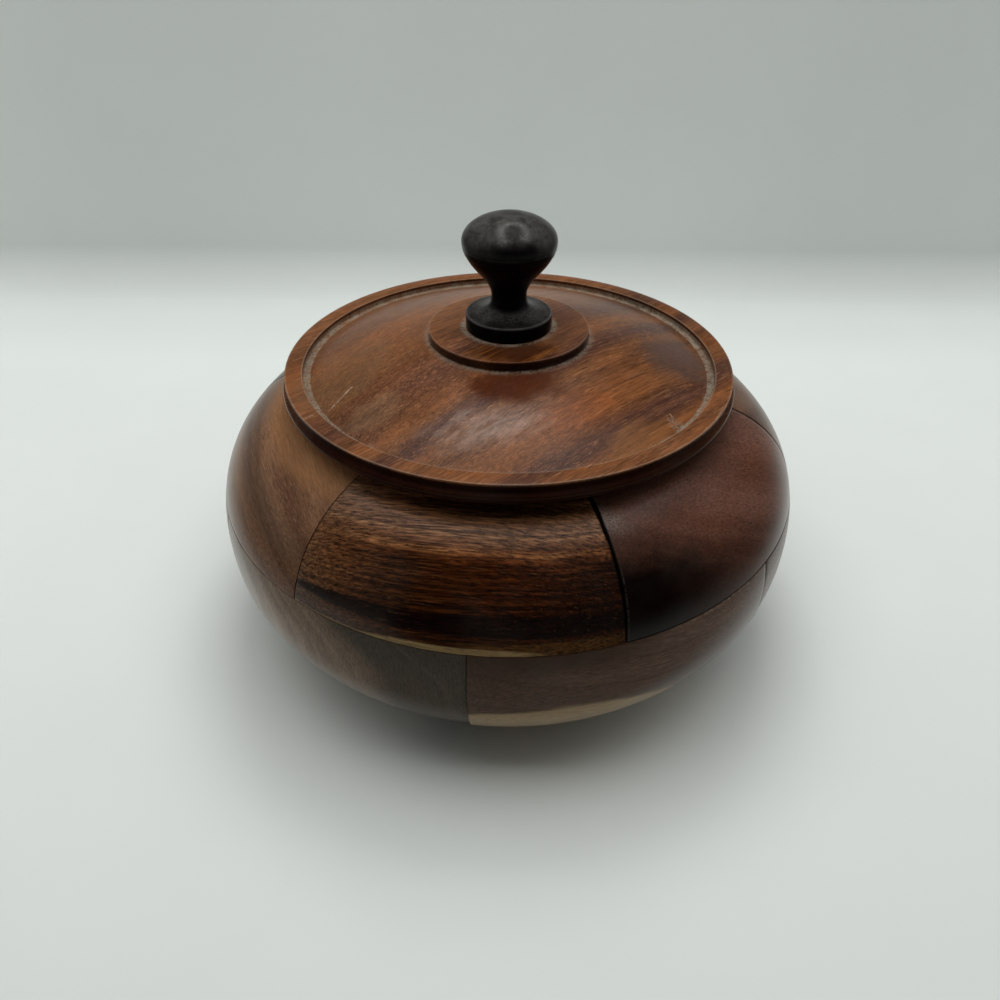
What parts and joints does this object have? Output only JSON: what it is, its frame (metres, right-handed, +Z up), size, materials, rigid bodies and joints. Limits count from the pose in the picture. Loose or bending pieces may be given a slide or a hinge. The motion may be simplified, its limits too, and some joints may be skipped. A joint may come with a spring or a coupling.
{
  "type": "lidded wooden bowl",
  "caption": "Squat round wooden bowl turned from two courses of glued blocks, with a domed lift-off lid and a turned dark wood knob.",
  "frame": {"origin": "centre of the foot, on the surface that the bowl stands on", "axes": "+Z up along the turning axis; -Y towards the front, where the widest block of the upper course is"},
  "size_m": [0.22, 0.221, 0.154],
  "materials": {
    "striped_heartwood": "oiled, satin, open pores",
    "red_heartwood": "oiled, satin",
    "warm_heartwood": "oiled, satin",
    "dark_heartwood": "oiled, satin",
    "lid_wood": "oiled, satin",
    "ebony": "waxed, dusty"
  },
  "bodies": {
    "bowl": {"upper_segment_1": "striped_heartwood", "upper_segment_2": "red_heartwood", "upper_segment_3": "warm_heartwood", "upper_segment_4": "striped_heartwood", "upper_segment_5": "dark_heartwood", "upper_segment_6": "warm_heartwood", "lower_segment_1": "red_heartwood", "lower_segment_2": "striped_heartwood", "lower_segment_3": "dark_heartwood", "lower_segment_4": "warm_heartwood", "lower_segment_5": "striped_heartwood", "lower_segment_6": "dark_heartwood", "base_disc": "striped_heartwood"},
    "lid": {"lid": "lid_wood", "knob": "ebony"}
  },
  "joints": [
    {"name": "lid_lift", "type": "slide", "parent": "bowl", "child": "lid", "axis": [0, 0, 1], "range_m": [0, 0.12]}
  ]
}
